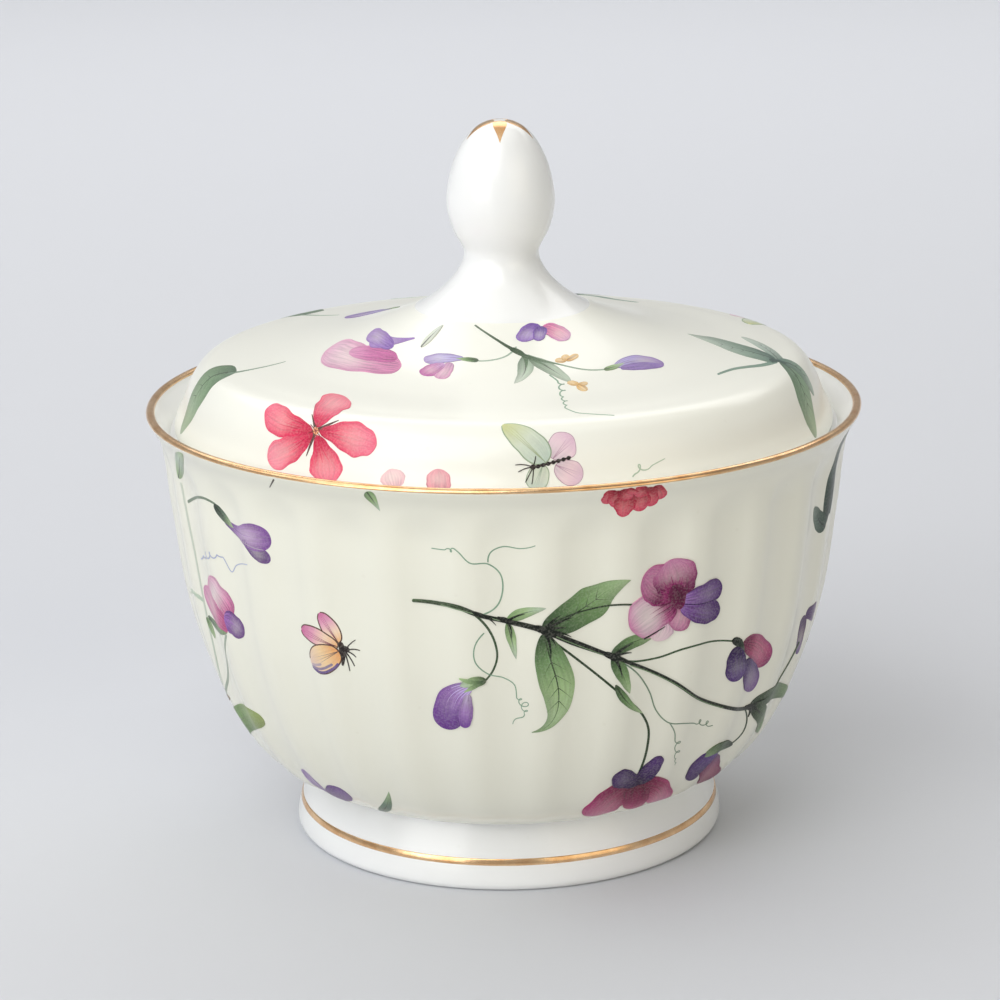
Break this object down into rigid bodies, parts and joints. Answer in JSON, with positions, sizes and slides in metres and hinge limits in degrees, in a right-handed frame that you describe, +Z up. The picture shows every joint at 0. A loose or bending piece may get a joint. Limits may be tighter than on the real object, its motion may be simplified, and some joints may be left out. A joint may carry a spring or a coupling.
{
  "type": "lidded sugar bowl",
  "caption": "Round fluted china bowl on a foot ring, with a domed lift-off lid and a bud-shaped finial, trimmed in gold.",
  "frame": {"origin": "centre of the foot, on the surface that the bowl stands on", "axes": "+Z up along the axis of the bowl and lid; -Y is the front"},
  "size_m": [0.1102, 0.1102, 0.1116],
  "materials": {
    "ivory_glaze": "smooth high-gloss ivory glaze with printed enamel flowers",
    "white_glaze": "smooth high-gloss white glaze",
    "gilding": "thin burnished gold, slightly worn"
  },
  "bodies": {
    "bowl": {"bowl_body": "ivory_glaze", "foot_ring": "white_glaze", "rim_gilding": "gilding", "foot_gilding": "gilding"},
    "lid": {"lid_shell": "ivory_glaze", "lid_flange": "white_glaze", "finial": "white_glaze", "finial_gilding": "gilding"}
  },
  "joints": [
    {"name": "lid_lift", "type": "slide", "parent": "bowl", "child": "lid", "axis": [0, 0, 1], "range_m": [0, 0.05]}
  ]
}
